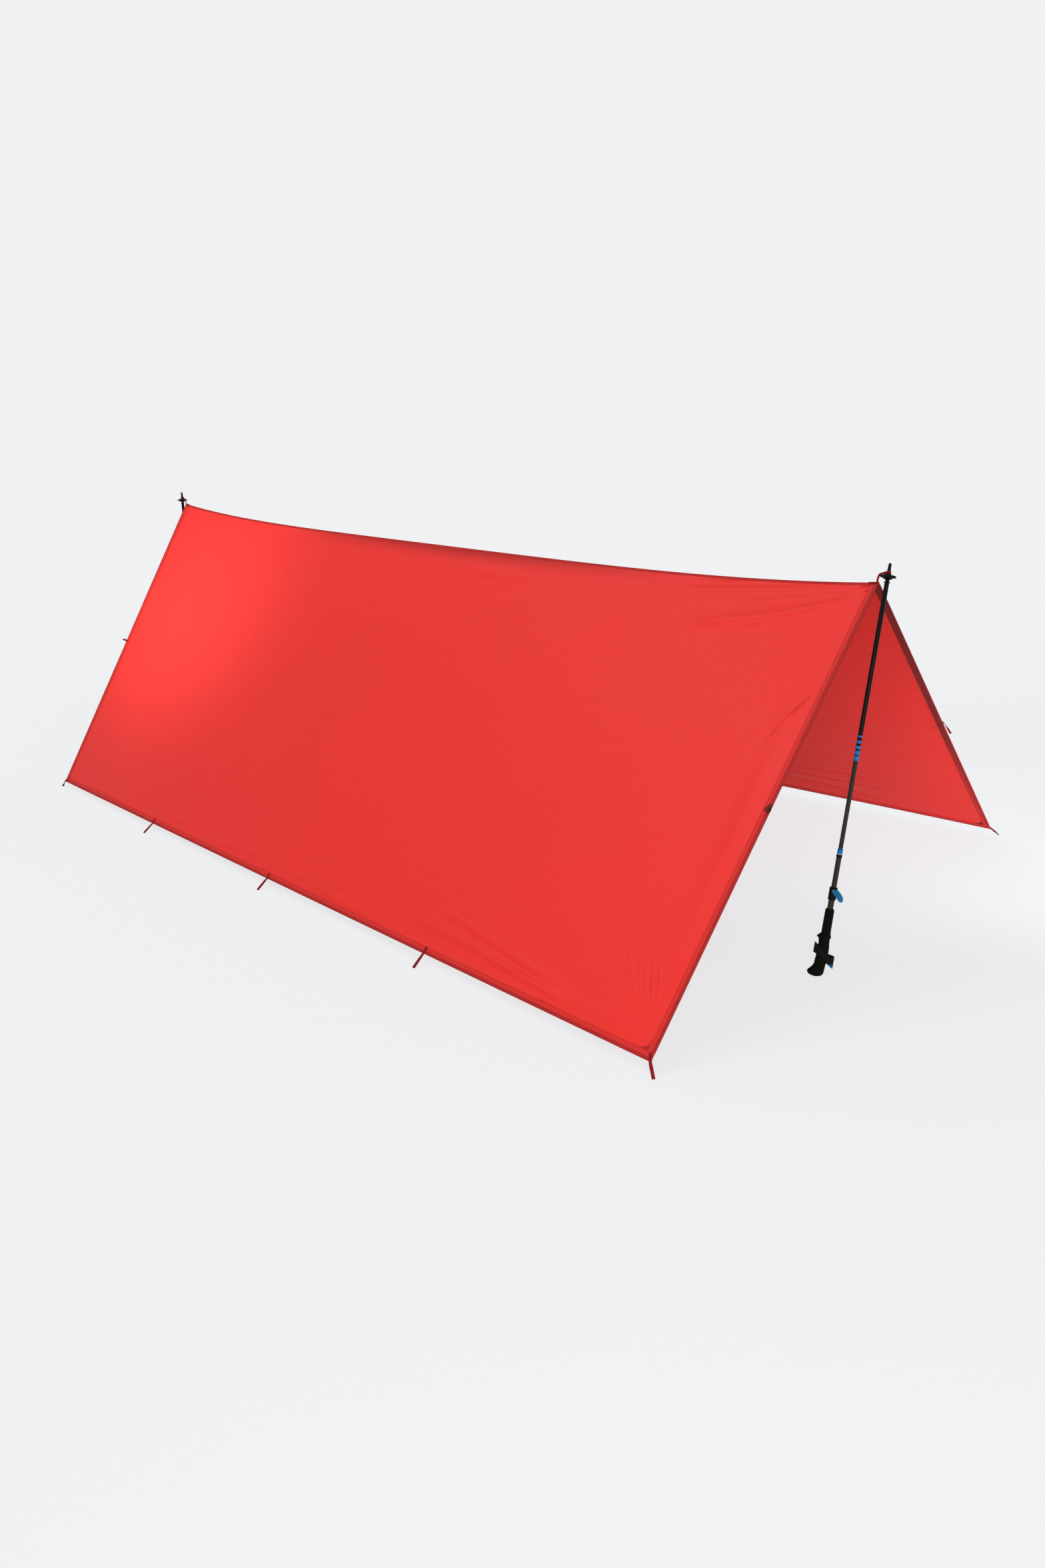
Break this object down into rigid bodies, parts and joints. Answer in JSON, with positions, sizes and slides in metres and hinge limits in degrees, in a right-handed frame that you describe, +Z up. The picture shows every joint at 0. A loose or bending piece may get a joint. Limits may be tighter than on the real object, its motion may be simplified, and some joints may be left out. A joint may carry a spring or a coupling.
{
  "type": "camping tarp",
  "caption": "Ridge tarp pitched low over upturned trekking poles, with bound edges, reinforced corners and webbing loops for pegs and guy lines.",
  "frame": {"origin": "middle of the footprint, on the ground that the peg loops and the pole grips stand on", "axes": "+X along the ridge towards the wide front mouth, +Y across the ridge towards the far side of the picture, +Z up"},
  "size_m": [3.1472, 1.6926, 1.059],
  "materials": {
    "red_ripstop": "coated ripstop cloth, soft sheen",
    "dark_red_binding": "woven tape, matt",
    "maroon_webbing": "woven webbing, matt",
    "black_strap": "woven strap, matt",
    "black_plastic": "moulded, satin",
    "black_tube": "lacquered tube, satin",
    "olive_grey_tube": "anodised tube, satin",
    "blue_anodised": "anodised, satin",
    "black_foam": "fine closed-cell foam, matt"
  },
  "bodies": {
    "canopy": {"ridge_seam": "dark_red_binding", "front_ridge_loop": "maroon_webbing", "back_ridge_loop": "maroon_webbing"},
    "near_side": {"near_panel": "red_ripstop", "near_lower_hem": "dark_red_binding", "near_back_hem": "dark_red_binding", "near_front_hem": "dark_red_binding", "near_back_corner_patch": "dark_red_binding", "near_back_ridge_patch": "dark_red_binding", "near_front_corner_patch": "dark_red_binding", "near_front_ridge_patch": "dark_red_binding", "near_back_corner_loop": "maroon_webbing", "near_back_hem_loop": "maroon_webbing", "near_middle_hem_loop": "maroon_webbing", "near_front_hem_loop": "maroon_webbing", "near_front_corner_loop": "maroon_webbing", "near_back_edge_loop": "maroon_webbing", "near_front_edge_loop": "maroon_webbing"},
    "far_side": {"far_panel": "red_ripstop", "far_lower_hem": "dark_red_binding", "far_back_hem": "dark_red_binding", "far_front_hem": "dark_red_binding", "far_back_corner_patch": "dark_red_binding", "far_back_ridge_patch": "dark_red_binding", "far_front_corner_patch": "dark_red_binding", "far_front_ridge_patch": "dark_red_binding", "far_back_corner_loop": "maroon_webbing", "far_back_hem_loop": "maroon_webbing", "far_middle_hem_loop": "maroon_webbing", "far_front_hem_loop": "maroon_webbing", "far_front_corner_loop": "maroon_webbing", "far_back_edge_loop": "maroon_webbing", "far_front_edge_loop": "maroon_webbing"},
    "front_pole": {"front_pole_tip": "black_plastic", "front_basket": "black_plastic", "front_lower_shaft": "black_tube", "front_middle_shaft": "olive_grey_tube", "front_stop_ring": "blue_anodised", "front_joint_collar": "black_plastic", "front_upper_shaft": "olive_grey_tube"},
    "front_handle": {"front_handle_shaft": "olive_grey_tube", "front_lock_clamp": "black_plastic", "front_foam_sleeve": "black_foam", "front_grip": "black_foam", "front_wrist_strap": "black_strap"},
    "front_lever": {"front_lock_lever": "blue_anodised"},
    "back_pole": {"back_pole_tip": "black_plastic", "back_basket": "black_plastic", "back_lower_shaft": "black_tube", "back_middle_shaft": "olive_grey_tube", "back_stop_ring": "blue_anodised", "back_joint_collar": "black_plastic", "back_upper_shaft": "olive_grey_tube"},
    "back_handle": {"back_handle_shaft": "olive_grey_tube", "back_lock_clamp": "black_plastic", "back_foam_sleeve": "black_foam", "back_grip": "black_foam", "back_wrist_strap": "black_strap"},
    "back_lever": {"back_lock_lever": "blue_anodised"}
  },
  "joints": [
    {"name": "near_side_lift", "type": "hinge", "parent": "canopy", "child": "near_side", "pos_m": [0.02045, -0.00583, 0.9515], "axis": [-0.9991, 0, 0.0417], "range_deg": [0, 50]},
    {"name": "far_side_lift", "type": "hinge", "parent": "canopy", "child": "far_side", "pos_m": [0.02045, -0.00583, 0.9515], "axis": [0.9991, 0, -0.0417], "range_deg": [0, 50]},
    {"name": "front_pole_swing", "type": "hinge", "parent": "canopy", "child": "front_pole", "pos_m": [1.54438, -0.01038, 0.91762], "axis": [0, -0.9636, 0.2673], "range_deg": [-10, 20]},
    {"name": "back_pole_swing", "type": "hinge", "parent": "canopy", "child": "back_pole", "pos_m": [-1.50135, -0.00632, 1.04203], "axis": [0, 0.9996, -0.0283], "range_deg": [-10, 20]},
    {"name": "front_pole_length", "type": "slide", "parent": "front_pole", "child": "front_handle", "axis": [-0.0039, -0.2673, -0.9636], "range_m": [-0.038, 0.105]},
    {"name": "back_pole_length", "type": "slide", "parent": "back_pole", "child": "back_handle", "axis": [-0.0471, -0.0283, -0.9985], "range_m": [-0.129, 0.014]},
    {"name": "front_lock_lever_turn", "type": "hinge", "parent": "front_handle", "child": "front_lever", "pos_m": [1.55034, -0.21738, 0.2046], "axis": [-0.7071, -0.6806, 0.1917], "range_deg": [0, 85]},
    {"name": "back_lock_lever_turn", "type": "hinge", "parent": "back_handle", "child": "back_lever", "pos_m": [-1.5318, -0.03878, 0.20939], "axis": [-0.7063, -0.7059, 0.0533], "range_deg": [0, 85]}
  ]
}
